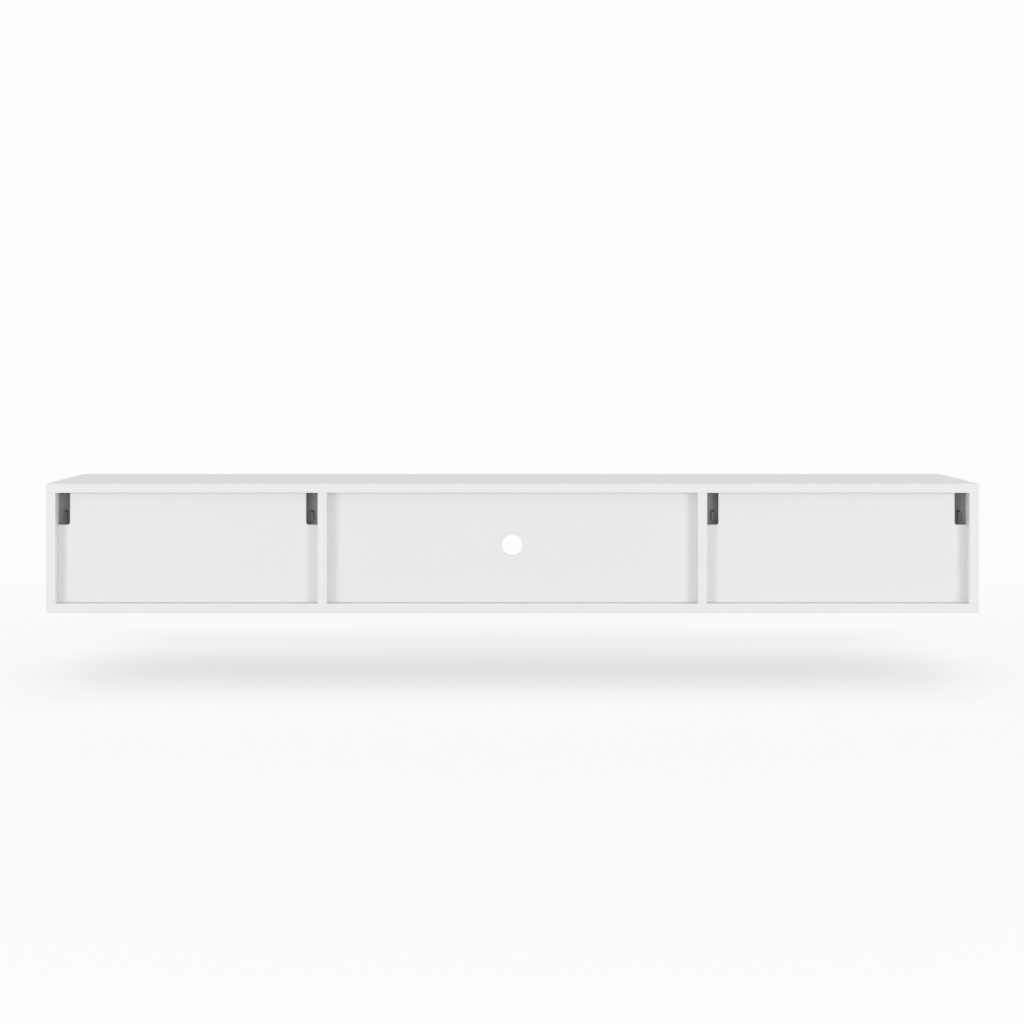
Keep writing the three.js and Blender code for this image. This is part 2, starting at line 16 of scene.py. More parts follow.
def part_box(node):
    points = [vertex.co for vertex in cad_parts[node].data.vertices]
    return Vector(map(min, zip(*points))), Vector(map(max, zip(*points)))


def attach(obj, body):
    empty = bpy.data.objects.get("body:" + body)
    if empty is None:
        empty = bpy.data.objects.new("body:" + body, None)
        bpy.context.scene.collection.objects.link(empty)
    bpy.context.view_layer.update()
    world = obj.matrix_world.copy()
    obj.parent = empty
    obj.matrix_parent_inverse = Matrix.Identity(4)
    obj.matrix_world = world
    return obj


bl_info = {
    "name": "Wall-hung Media Console",
    "version": (1, 0, 0),
    "blender": (4, 5, 0),
    "location": "3D View > Sidebar > Console",
    "description": "Finishes, small fasteners and studio for a wall-hung media console",
    "category": "Object",
}

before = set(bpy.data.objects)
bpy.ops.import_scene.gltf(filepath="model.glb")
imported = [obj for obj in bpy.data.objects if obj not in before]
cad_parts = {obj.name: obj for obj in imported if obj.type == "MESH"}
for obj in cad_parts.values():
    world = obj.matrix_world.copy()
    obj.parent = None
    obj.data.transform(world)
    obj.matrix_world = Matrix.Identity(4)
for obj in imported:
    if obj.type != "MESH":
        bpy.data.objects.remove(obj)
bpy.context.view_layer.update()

AXIS_X, AXIS_Y, AXIS_Z = 0, 1, 2
BAYS = {"left": -1, "right": 1}
EDGES = {"outer": 1, "inner": -1}

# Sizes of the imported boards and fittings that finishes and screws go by
BACK_TONGUE = 0.0045
STAY_PLATE = 0.0025
BRACKET_PLATE = 0.002
PLATE_HOLE_INSET = 0.008
LATCH_FLANGE = 0.003
LATCH_BARREL = 0.016
STRIKE_HOLE_INSET = 0.0041

# Where fasteners stand, as shares of the size of what holds them, and how deep a cam's face is sunk
CAM_COLUMNS = (0.15, 0.45, 0.725)
CAM_SINK = 0.0002
HANGER_SCREW_COLUMN = 0.55
HANGER_SCREW_ROWS = (0.12, 0.82)

# A head's rounding and recess are shares of its height, the arms of its cross shares of its radius
Head = namedtuple("Head", ("rounding", "recess", "arm_width", "arm_length"))
PAN_HEAD = Head(rounding=0.64, recess=0.6, arm_width=0.3, arm_length=1.15)
CAM_HEAD = Head(rounding=0.2, recess=0.7, arm_width=0.26, arm_length=1.1)
STRIKE_HEAD = Head(rounding=3 / 7, recess=5 / 7, arm_width=0.3, arm_length=1.1)
LATCH_SCREW_SHARE = 0.8

# How a head is meshed
HEAD_SIDES = 32
HEAD_SEGMENTS = 3
SORT_WAY = Vector((1, 2.7, 7.3))
FACING_UP = 0.99
MERGE_SHARE = 1e-4

# Patterns of a finish: sizes and depths as multiples of what the settings give, the squeeze of the
# steel's lines along their length, and the share of the fine pattern in the colour
CLOUD_SIZE = 3
BACK_CLOUD_SIZE = 4
BACK_PEARL_SIZE = 0.8
BACK_WAVE_SIZE = 2
BACK_WAVE_DEPTH = 2
FIBRE_SIZE = 0.5
LINE_SQUEEZE = 0.03
LINE_SHARE = 0.4
LINE_DEPTH = 0.02
STEEL_MOTTLE_SIZE = 30
GRAIN_SHARE = 0.3
GRAIN_DEPTH = 0.05
PLASTIC_MOTTLE_SIZE = 40

# Where the core of a back ends and its foil starts, from its middle, as shares of its thickness
CORE_END = (0.46, 0.495)

# A finish's darkest and lightest tone, and those of its seams and of the painted shade where a back enters
# its grooves, as shares of its own colour
FACE_TONES = (0.99, 1.005)
CORE_TONES = (0.84, 0.92)
STEEL_TONES = (0.86, 1.1)
PLASTIC_TONES = (0.92, 1.08)
SEAM_TONE = 0.8
# Tone of the painted shade along a back's lower and upper grooves
PAINTED_SHADE_TONE = 0.5

# How far roughness strays: from fine lines or grain, and over large patches
GRAIN_ROUGHNESS = (-0.06, 0.08)
BOARD_DRIFT = 0.06
BACK_DRIFT = 0.05
STEEL_DRIFT = 0.12

# Roughness of what the settings don't list
CORE_ROUGHNESS = 0.8
GREY_ROUGHNESS = 0.55
PALE_ROUGHNESS = 0.45
PLATED_ROUGHNESS = 0.34
BLACKENED_ROUGHNESS = 0.45
CAST_ROUGHNESS = 0.42
SCREW_ROUGHNESS = 0.3

# Studio
SEEN_RAYS = ("Is Camera Ray", "Is Glossy Ray", "Is Transmission Ray")
FLOOR_REACH = 40
CAMERA_REACH = 200
SENSOR_WIDTH = 36

# Numbers of a Mix node's colour sockets, which share their names with others
MIX_FIRST, MIX_SECOND, MIX_RESULT = 6, 7, 2


# Sizes and colours that a user would change


class BoardFinish(bpy.types.PropertyGroup):
    """Finish of the laminated boards and of the thinner backs."""

    face_colour: FloatVectorProperty(
        name="Face colour",
        description="Colour of the laminate on the boards",
        subtype="COLOR",
        size=3,
        min=0,
        max=1,
        default=(0.87, 0.875, 0.87),
    )
    band_colour: FloatVectorProperty(
        name="Edge band colour",
        description="Colour of the band glued to the edges of the boards",
        subtype="COLOR",
        size=3,
        min=0,
        max=1,
        default=(0.865, 0.87, 0.862),
    )
    back_colour: FloatVectorProperty(
        name="Back colour",
        description="Colour of the foil on the back panels",
        subtype="COLOR",
        size=3,
        min=0,
        max=1,
        default=(0.843, 0.849, 0.845),
    )
    band_thickness: FloatProperty(
        name="Edge band thickness",
        description="Thickness of the band, whose glue line shows on the faces",
        unit="LENGTH",
        precision=5,
        default=0.0008,
    )
    glue_line: FloatProperty(
        name="Glue line width",
        description="Width of the fine line between the band and the face",
        unit="LENGTH",
        precision=5,
        default=0.00012,
    )
    # Painted shade: the dark lines along a back's lower and upper grooves stand in for the shade in those
    # corners
    painted_shade_width: FloatVectorProperty(
        name="Dust line width",
        description="Width of the dust lines where a back enters the grooves below and above it",
        unit="LENGTH",
        size=2,
        precision=5,
        default=(0.0015, 0.0031),
    )
    pearl_size: FloatProperty(
        name="Pearl size",
        description="Size of the fine grain pressed into the laminate",
        unit="LENGTH",
        precision=5,
        default=0.0009,
    )
    pearl_depth: FloatProperty(
        name="Pearl depth",
        description="Depth of that grain",
        unit="LENGTH",
        precision=6,
        default=0.00002,
    )
    wave_size: FloatProperty(
        name="Wave size",
        description="Length of the slow waves that a pressed sheet keeps",
        unit="LENGTH",
        default=0.09,
    )
    wave_depth: FloatProperty(
        name="Wave depth",
        description="Depth of those waves",
        unit="LENGTH",
        precision=6,
        default=0.00003,
    )
    face_roughness: FloatProperty(
        name="Face roughness",
        description="Roughness of the laminate",
        subtype="FACTOR",
        min=0,
        max=1,
        default=0.42,
    )
    band_roughness: FloatProperty(
        name="Band roughness",
        description="Roughness of the edge band, which is smoother",
        subtype="FACTOR",
        min=0,
        max=1,
        default=0.34,
    )
    back_roughness: FloatProperty(
        name="Back roughness",
        description="Roughness of the backs",
        subtype="FACTOR",
        min=0,
        max=1,
        default=0.5,
    )


class FittingFinish(bpy.types.PropertyGroup):
    """Finish of the plastic and metal fittings."""

    steel_colour: FloatVectorProperty(
        name="Zinc plate",
        description="Colour of the zinc-plated steel",
        subtype="COLOR",
        size=3,
        min=0,
        max=1,
        default=(0.56, 0.57, 0.575),
    )
    dark_steel_colour: FloatVectorProperty(
        name="Blackened steel",
        description="Colour of the hanger hooks",
        subtype="COLOR",
        size=3,
        min=0,
        max=1,
        default=(0.15, 0.15, 0.15),
    )
    grey_plastic_colour: FloatVectorProperty(
        name="Grey plastic",
        description="Colour of the housings of stays and hangers",
        subtype="COLOR",
        size=3,
        min=0,
        max=1,
        default=(0.29, 0.292, 0.291),
    )
    pale_plastic_colour: FloatVectorProperty(
        name="Pale plastic",
        description="Colour of the latches and the bushes",
        subtype="COLOR",
        size=3,
        min=0,
        max=1,
        default=(0.66, 0.67, 0.66),
    )
    brush_size: FloatProperty(
        name="Brush size",
        description="Width of the fine lines that rolling leaves in the steel",
        unit="LENGTH",
        precision=5,
        default=0.0003,
    )
    grain_size: FloatProperty(
        name="Grain size",
        description="Size of the eroded grain of the mouldings",
        unit="LENGTH",
        precision=5,
        default=0.0005,
    )


class FastenerSizes(bpy.types.PropertyGroup):
    """Sizes of the cam locks and screws."""

    cam_radius: FloatProperty(
        name="Cam radius",
        description="Radius of a cam lock's face",
        unit="LENGTH",
        precision=4,
        default=0.0075,
    )
    cam_height: FloatProperty(
        name="Cam height",
        description="Height of a cam lock's face, of which a little is sunk in the board",
        unit="LENGTH",
        precision=4,
        default=0.001,
    )
    cam_inset: FloatProperty(
        name="Cam inset",
        description="From the joined board to the middle of a cam",
        unit="LENGTH",
        precision=4,
        default=0.024,
    )
    screw_radius: FloatProperty(
        name="Screw head radius",
        description="Radius of a pan head",
        unit="LENGTH",
        precision=4,
        default=0.0036,
    )
    screw_height: FloatProperty(
        name="Screw head height",
        description="Height of a pan head",
        unit="LENGTH",
        precision=4,
        default=0.0018,
    )
    strike_screw_radius: FloatProperty(
        name="Strike screw radius",
        description="Radius of the small heads in a strike plate",
        unit="LENGTH",
        precision=4,
        default=0.0023,
    )
    strike_screw_height: FloatProperty(
        name="Strike screw height",
        description="Height of the small heads in a strike plate",
        unit="LENGTH",
        precision=4,
        default=0.0007,
    )


class Studio(bpy.types.PropertyGroup):
    """Floor, light and camera of the product photograph."""

    floor_drop: FloatProperty(
        name="Floor drop",
        description="From the underside of the console down to the floor",
        unit="LENGTH",
        default=0.1335,
    )
    sky_level: FloatProperty(
        name="Sky level",
        description="Level of the even light from all round",
        min=0,
        default=0.67,
    )
    lamp_power: FloatProperty(
        name="Lamp power",
        description="Power of each of the two lamps to the sides of the camera of the photograph",
        unit="POWER",
        min=0,
        default=130,
    )
    lamp_size: FloatVectorProperty(
        name="Lamp size",
        description="Width and height of such a lamp",
        unit="LENGTH",
        size=2,
        default=(2.1, 1.3),
    )
    lamp_place: FloatVectorProperty(
        name="Lamp place",
        description="Where one lamp stands; the other stands as far off on the other side",
        subtype="TRANSLATION",
        size=3,
        default=(5, 6.2, 0.52),
    )
    fill_power: FloatProperty(
        name="Fill power",
        description="Power of the strip of light in front of the console",
        unit="POWER",
        min=0,
        default=60,
    )
    fill_size: FloatVectorProperty(
        name="Fill size",
        description="Width and height of that strip",
        unit="LENGTH",
        size=2,
        default=(8, 0.7),
    )
    fill_place: FloatVectorProperty(
        name="Fill place",
        description="Where that strip stands",
        subtype="TRANSLATION",
        size=3,
        default=(0.4, -4.9, 0.36),
    )
    floor_colour: FloatVectorProperty(
        name="Floor colour",
        description="Colour of the floor for the light that it sends back",
        subtype="COLOR",
        size=3,
        min=0,
        max=1,
        default=(0.8, 0.8, 0.795),
    )
    floor_share: FloatProperty(
        name="Floor share",
        description="Share of the floor's own light that the camera sees, which sets how dark a shadow is",
        subtype="FACTOR",
        min=0,
        max=1,
        default=0.55,
    )
    floor_lift: FloatProperty(
        name="Floor lift",
        description="What the camera sees added to that share, to make the floor white",
        min=0,
        default=0.649,
    )
    shade_depth: FloatProperty(
        name="Contact shade depth",
        description="What the broad soft shade under the console takes from that",
        min=0,
        default=0.075,
    )
    shade_size: FloatVectorProperty(
        name="Contact shade size",
        description="Width and depth of that shade, to the middle of its soft edge",
        unit="LENGTH",
        size=2,
        default=(1.66, 1.0),
    )
    shade_shift: FloatProperty(
        name="Contact shade shift",
        description="How far the middle of that shade lies to the wall side",
        unit="LENGTH",
        default=-0.12,
    )
    shade_softness: FloatProperty(
        name="Contact shade softness",
        description="Width of its soft edge",
        unit="LENGTH",
        default=0.32,
    )
    fade_from: FloatProperty(
        name="Fade from",
        description="Distance from the console at which the floor starts to turn into the backdrop",
        unit="LENGTH",
        default=0.9,
    )
    fade_to: FloatProperty(
        name="Fade to",
        description="Distance at which no more of the floor can be told from the backdrop",
        unit="LENGTH",
        default=3.2,
    )
    backdrop_colour: FloatVectorProperty(
        name="Backdrop colour",
        description="The white that the camera sees behind the console",
        subtype="COLOR",
        size=3,
        min=0,
        max=1,
        default=(0.985, 0.985, 0.975),
    )
    photo_side: IntProperty(
        name="Photo side",
        description="Side of the square photograph, in pixels",
        default=1024,
    )
    focal_pixels: FloatProperty(
        name="Focal length in pixels",
        description="Distance at which one pixel is one unit wide",
        default=2303,
    )
    principal_column: FloatProperty(
        name="Principal column",
        description="Column of the photograph that the camera points at",
        default=501.5,
    )
    principal_row: FloatProperty(
        name="Principal row",
        description="Row of the photograph at the camera's own height",
        default=367.5,
    )
    camera_place: FloatVectorProperty(
        name="Camera place",
        description="Where the camera stands, on the wall side of the console",
        subtype="TRANSLATION",
        size=3,
        default=(0.021, 4.644, 0.474),
    )


# Shader maths


class Term:
    """An output socket of a material. Arithmetic on it adds Math nodes."""

    def __init__(self, tree, socket=None):
        self.tree = tree
        self.socket = socket

    def node(self, kind, settings=None, inputs=None, output=0):
        """Adds a node: its settings first, then the values or links of its sockets."""
        made = self.tree.nodes.new(kind)
        for name, value in (settings or {}).items():
            setattr(made, name, value)
        for name, value in (inputs or {}).items():
            self.feed(made.inputs[name], value)
        return Term(self.tree, made.outputs[output] if made.outputs else None)

    def feed(self, socket, value):
        if isinstance(value, Term):
            self.tree.links.new(value.socket, socket)
        else:
            socket.default_value = value

    def math(self, operation, first, second=None):
        inputs = {0: first} if second is None else {0: first, 1: second}
        return self.node("ShaderNodeMath", {"operation": operation}, inputs)

    def __add__(self, other):
        return self.math("ADD", self, other)

    __radd__ = __add__

    def __sub__(self, other):
        return self.math("SUBTRACT", self, other)

    def __rsub__(self, other):
        return self.math("SUBTRACT", other, self)

    def __mul__(self, other):
        return self.math("MULTIPLY", self, other)

    __rmul__ = __mul__

    def __abs__(self):
        return self.math("ABSOLUTE", self)

    def lower(self, other):
        return self.math("MINIMUM", self, other)

    def higher(self, other):
        return self.math("MAXIMUM", self, other)

    def rising(self, low, high):
        """0 below low, 1 above high, smooth between."""
        return self.node(
            "ShaderNodeMapRange",
            {"interpolation_type": "SMOOTHSTEP"},
            {"Value": self, "From Min": low, "From Max": high},
        )

    def falling(self, low, high):
        return 1 - self.rising(low, high)

    def between(self, first, second):
        """The first number where this is 0, the second where it is 1."""
        return self * (second - first) + first

    def colour_between(self, first, second):
        """The first colour where this is 0, the second where it is 1."""
        return self.node(
            "ShaderNodeMix",
            {"data_type": "RGBA"},
            {"Factor": self, MIX_FIRST: with_alpha(first), MIX_SECOND: with_alpha(second)},
            output=MIX_RESULT,
        )

    def toned(self, colour, tones):
        """A colour from its darkest share, where this is 0, to its lightest."""
        return self.colour_between(*(scaled(colour, tone) for tone in tones))

    def drift(self, amount):
        """A number from minus to plus half that amount, to add to a level."""
        return (self - 0.5) * amount


def scaled(colour, share):
    return tuple(channel * share for channel in colour)


def with_alpha(colour):
    """A colour as four numbers, or a link as it is."""
    return colour if isinstance(colour, Term) else (*colour, 1)


class Finish:
    """A material under construction: its tree, its shader and the place on the object."""

    def __init__(self, name):
        self.material = bpy.data.materials.new(name)
        self.material.use_nodes = True
        self.tree = self.material.node_tree
        self.shader = self.tree.nodes["Principled BSDF"]
        self.start = Term(self.tree)
        self.place = self.start.node("ShaderNodeTexCoord", output="Object")

    def part(self, axis):
        """One coordinate of the place on the object, in metres."""
        return self.start.node("ShaderNodeSeparateXYZ", inputs={"Vector": self.place}, output=axis)

    def stretched(self, scale):
        """The place with each axis scaled by its own share."""
        return self.start.node("ShaderNodeMapping", inputs={"Vector": self.place, "Scale": scale})

    def noise(self, size, detail=2.0, place=None):
        """Even noise from 0 to 1 whose lumps are about size across."""
        return self.start.node(
            "ShaderNodeTexNoise",
            {"noise_dimensions": "3D"},
            {"Vector": place or self.place, "Scale": 1 / size, "Detail": detail},
        )

    def bump(self, height, depth, under=None):
        """A bump of that depth in metres, over another one where it is given."""
        inputs = {"Height": height, "Distance": depth}
        if under:
            inputs["Normal"] = under
        return self.start.node("ShaderNodeBump", inputs=inputs)

    def feed(self, **sockets):
        """Links or sets the shader's sockets; an underscore stands for a space."""
        for name, value in sockets.items():
            self.start.feed(self.shader.inputs[name.replace("_", " ")], value)
        return self.material


# Finishes


def band_distance(finish, low, high, banded):
    """Distance from a board's nearest banded edge, by its box and the axes that cross those edges."""
    nearest = None
    for axis in banded:
        middle = (low[axis] + high[axis]) / 2
        half = (high[axis] - low[axis]) / 2
        inside = half - abs(finish.part(axis) - middle)
        nearest = inside if nearest is None else nearest.lower(inside)
    return nearest


def board_material(name, settings, node, banded):
    """Satin laminate with a pressed pearl grain, and a smoother band on the edges."""
    finish = Finish(name)
    low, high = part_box(node)
    distance = band_distance(finish, low, high, banded)
    edge, line = settings.band_thickness, settings.glue_line
    band = distance.falling(edge - line, edge)
    seam = distance.rising(edge - line, edge) * distance.falling(edge, edge + line)
    cloud = finish.noise(settings.wave_size * CLOUD_SIZE)
    pearl = finish.noise(settings.pearl_size, detail=1.0)
    waves = finish.noise(settings.wave_size, detail=0.0)
    face = cloud.toned(settings.face_colour, FACE_TONES)
    tinted = band.colour_between(face, settings.band_colour)
    colour = seam.colour_between(tinted, scaled(settings.face_colour, SEAM_TONE))
    slack = finish.bump(waves, settings.wave_depth)
    grain = finish.bump(pearl * (1 - band), settings.pearl_depth, slack)
    rough = band.between(settings.face_roughness, settings.band_roughness) + cloud.drift(BOARD_DRIFT)
    return finish.feed(Base_Color=colour, Roughness=rough, Normal=grain)


def back_material(name, settings, node):
    """Thin foiled board with the slack of a thin sheet, bare at its cuts, with painted shade darkening it
    where it enters its grooves.
    """
    finish = Finish(name)
    low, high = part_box(node)
    thickness = high.y - low.y
    from_middle = abs(finish.part(AXIS_Y) - (low.y + high.y) / 2)
    cut = from_middle.falling(*(thickness * share for share in CORE_END))
    cloud = finish.noise(settings.wave_size * BACK_CLOUD_SIZE)
    pearl = finish.noise(settings.pearl_size * BACK_PEARL_SIZE, detail=1.0)
    fibre = finish.noise(settings.pearl_size * FIBRE_SIZE, detail=3.0)
    waves = finish.noise(settings.wave_size * BACK_WAVE_SIZE, detail=0.0)
    face = cloud.toned(settings.back_colour, FACE_TONES)
    core = fibre.toned(settings.back_colour, CORE_TONES)
    # Painted shade: the face turns darker within these widths of its lower and upper grooves, in place of
    # the shade in those corners
    below, above = settings.painted_shade_width
    painted_shade_below = (finish.part(AXIS_Z) - low.z).falling(BACK_TONGUE, BACK_TONGUE + below)
    painted_shade_above = (high.z - finish.part(AXIS_Z)).falling(BACK_TONGUE, BACK_TONGUE + above)
    unshaded = cut.colour_between(face, core)
    colour = painted_shade_below.higher(painted_shade_above).colour_between(unshaded, scaled(settings.back_colour, PAINTED_SHADE_TONE))
    slack = finish.bump(waves, settings.wave_depth * BACK_WAVE_DEPTH)
    grain = finish.bump(pearl, settings.pearl_depth, slack)
    rough = cut.between(settings.back_roughness, CORE_ROUGHNESS) + cloud.drift(BACK_DRIFT)
    return finish.feed(Base_Color=colour, Roughness=rough, Normal=grain)


def steel_material(name, colour, settings, along, roughness):
    """Plated steel with the fine lines of rolling along one axis, and a slow mottle."""
    finish = Finish(name)
    scale = [1, 1, 1]
    scale[along] = LINE_SQUEEZE
    lines = finish.noise(settings.brush_size, place=finish.stretched(scale))
    mottle = finish.noise(settings.brush_size * STEEL_MOTTLE_SIZE, detail=3.0)
    tone = (lines * LINE_SHARE + mottle * (1 - LINE_SHARE)).toned(colour, STEEL_TONES)
    smoothest, roughest = (roughness + stray for stray in GRAIN_ROUGHNESS)
    rough = lines.between(smoothest, roughest) + mottle.drift(STEEL_DRIFT)
    groove = finish.bump(lines, settings.brush_size * LINE_DEPTH)
    return finish.feed(Base_Color=tone, Metallic=1.0, Roughness=rough, Normal=groove)


def plastic_material(name, colour, settings, roughness):
    """Moulded plastic with an eroded grain and a little dust in it."""
    finish = Finish(name)
    grain = finish.noise(settings.grain_size, detail=3.0)
    mottle = finish.noise(settings.grain_size * PLASTIC_MOTTLE_SIZE)
    tone = (grain * GRAIN_SHARE + mottle * (1 - GRAIN_SHARE)).toned(colour, PLASTIC_TONES)
    rough = grain.between(*(roughness + stray for stray in GRAIN_ROUGHNESS))
    raised = finish.bump(grain, settings.grain_size * GRAIN_DEPTH)
    return finish.feed(Base_Color=tone, Roughness=rough, Normal=raised)


def wear(node, material):
    """Puts a material on a node of the frame or on a piece."""
    node.data.materials.clear()
    node.data.materials.append(material)


# Small fasteners


def cross_head(shape, radius, height):
    """A round head, standing on Z, with its rim rounded and a cross recess sunk into its top."""
    head = bmesh.new()
    bmesh.ops.create_circle(head, cap_ends=True, radius=radius, segments=HEAD_SIDES)
    lifted = bmesh.ops.extrude_face_region(head, geom=head.faces[:])
    bmesh.ops.translate(head, verts=only_verts(lifted), vec=(0, 0, height))
    settle(head)
    bmesh.ops.recalc_face_normals(head, faces=head.faces[:])
    rim = [edge for edge in head.edges if min(vert.co.z for vert in edge.verts) > height / 2]
    bmesh.ops.bevel(
        head,
        geom=rim,
        offset=height * shape.rounding,
        offset_type="OFFSET",
        segments=HEAD_SEGMENTS,
        profile=0.5,
        affect="EDGES",
        material=-1,
    )
    width, length = radius * shape.arm_width, radius * shape.arm_length
    for normal in (Vector((1, 0, 0)), Vector((0, 1, 0))):
        for reach in (width, length, -width, -length):
            top = upper_faces(head)
            edges = dict.fromkeys(edge for face in top for edge in face.edges)
            verts = dict.fromkeys(vert for face in top for vert in face.verts)
            bmesh.ops.bisect_plane(
                head,
                geom=[*top, *edges, *verts],
                dist=radius * MERGE_SHARE,
                plane_co=normal * reach / 2,
                plane_no=normal,
            )
    cross = [face for face in upper_faces(head) if in_cross(face, width, length)]
    sunk = bmesh.ops.extrude_face_region(head, geom=cross)
    bmesh.ops.translate(head, verts=only_verts(sunk), vec=(0, 0, -height * shape.recess))
    bmesh.ops.delete(head, geom=cross, context="FACES")
    bmesh.ops.recalc_face_normals(head, faces=head.faces[:])
    settle(head)
    return head


def settle(head):
    """Orders a head's parts by place, because an extrusion adds them in an order that varies."""
    head.verts.sort(key=lambda vert: vert.co.dot(SORT_WAY))
    head.edges.sort(key=lambda edge: (edge.verts[0].co + edge.verts[1].co).dot(SORT_WAY))
    head.faces.sort(key=lambda face: face.calc_center_median().dot(SORT_WAY))


def only_verts(result):
    """The vertices among what an extrusion made."""
    return [part for part in result["geom"] if isinstance(part, bmesh.types.BMVert)]


def upper_faces(head):
    return [face for face in head.faces if face.normal.z > FACING_UP]


def in_cross(face, width, length):
    """True for a piece of the top that lies in the cross."""
    middle = face.calc_center_median()
    across, along = sorted((abs(middle.x), abs(middle.y)))
    return across < width / 2 and along < length / 2


def placed_heads(name, head, places, material, body):
    """One piece of copies of a head, each at a point and facing a direction, that rides on a body."""
    pattern = bpy.data.meshes.new(name + "_pattern")
    head.to_mesh(pattern)
    head.free()
    whole = bmesh.new()
    for point, facing in places:
        before = set(whole.verts)
        whole.from_mesh(pattern)
        copied = [vert for vert in whole.verts if vert not in before]
        turn = Vector(facing).to_track_quat("Z", "Y").to_matrix().to_4x4()
        bmesh.ops.transform(whole, matrix=Matrix.Translation(point) @ turn, verts=copied)
    mesh = bpy.data.meshes.new(name)
    whole.to_mesh(mesh)
    whole.free()
    bpy.data.meshes.remove(pattern)
    piece = bpy.data.objects.new(name, mesh)
    bpy.context.scene.collection.objects.link(piece)
    wear(piece, material)
    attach(piece, body)
    return piece


def screw_head(sizes, share=1):
    """A pan head, or a smaller one by a share."""
    return cross_head(PAN_HEAD, sizes.screw_radius * share, sizes.screw_height * share)


def cam_places(node, inward, inset):
    """Three cams along the top and the bottom of an upright's face."""
    low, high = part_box(node)
    column = (high.x if inward > 0 else low.x) - inward * CAM_SINK
    for height in (low.z + inset, high.z - inset):
        for share in CAM_COLUMNS:
            yield Vector((column, low.y + share * (high.y - low.y), height)), (inward, 0, 0)


def hole_rows(low, high):
    """Heights of the lower and the upper screw of a plate."""
    return low.z + PLATE_HOLE_INSET, high.z - PLATE_HOLE_INSET


# Operators


class CONSOLE_OT_boards(bpy.types.Operator):
    """Finish the carcass boards and the flaps with laminate and edge bands"""

    bl_idname = "console.boards"
    bl_label = "Boards"

    def execute(self, context):
        settings = context.scene.console_boards
        lying, standing, hung = (AXIS_X, AXIS_Y), (AXIS_Y,), (AXIS_X, AXIS_Z)
        banded = {"top_panel": lying, "bottom_panel": lying}
        for bay in BAYS:
            banded[bay + "_side_panel"] = standing
            banded[bay + "_divider"] = standing
            banded[bay + "_flap"] = hung
        for node, axes in banded.items():
            wear(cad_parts[node], board_material(node + "_laminate", settings, node, axes))
        return {"FINISHED"}


class CONSOLE_OT_backs(bpy.types.Operator):
    """Finish the three back panels with foil and a fibre core at their cuts"""

    bl_idname = "console.backs"
    bl_label = "Backs"

    def execute(self, context):
        settings = context.scene.console_boards
        for node in ("left_back_panel", "centre_back_panel", "right_back_panel"):
            wear(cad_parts[node], back_material(node + "_foil", settings, node))
        return {"FINISHED"}


class CONSOLE_OT_fittings(bpy.types.Operator):
    """Finish the hinges, stays, latches and hangers"""

    bl_idname = "console.fittings"
    bl_label = "Fittings"

    def execute(self, context):
        settings = context.scene.console_fittings
        zinc, black = settings.steel_colour, settings.dark_steel_colour
        grey = plastic_material("grey_moulding", settings.grey_plastic_colour, settings, GREY_ROUGHNESS)
        pale = plastic_material("pale_moulding", settings.pale_plastic_colour, settings, PALE_ROUGHNESS)
        upright = steel_material("zinc_along_z", zinc, settings, AXIS_Z, PLATED_ROUGHNESS)
        lying = steel_material("zinc_along_x", zinc, settings, AXIS_X, PLATED_ROUGHNESS)
        dark = steel_material("blackened_steel", black, settings, AXIS_Y, BLACKENED_ROUGHNESS)
        endings = {
            "_stay_housing": grey,
            "_hanger_housing": grey,
            "_latch_plunger": grey,
            "_latch_housing": pale,
            "_hinge_bush": pale,
            "_stay_arm": upright,
            "_stay_link": upright,
            "_stay_bracket": upright,
            "_hinge_pin": lying,
            "_latch_strike": lying,
            "_hanger_screw": lying,
            "_hanger_hook": dark,
        }
        for name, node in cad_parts.items():
            for ending, material in endings.items():
                if name.endswith(ending):
                    wear(node, material)
        return {"FINISHED"}


class CONSOLE_OT_cam_locks(bpy.types.Operator):
    """Set the cam locks that draw the uprights to the top and bottom boards"""

    bl_idname = "console.cam_locks"
    bl_label = "Cam locks"

    def execute(self, context):
        sizes = context.scene.console_fasteners
        settings = context.scene.console_fittings
        zinc = steel_material("cast_zinc", settings.steel_colour, settings, AXIS_Z, CAST_ROUGHNESS)
        for bay, side in BAYS.items():
            for node, inward in ((bay + "_side_panel", -side), (bay + "_divider", side)):
                head = cross_head(CAM_HEAD, sizes.cam_radius, sizes.cam_height)
                places = list(cam_places(node, inward, sizes.cam_inset))
                placed_heads(node + "_cams", head, places, zinc, "root")
        return {"FINISHED"}


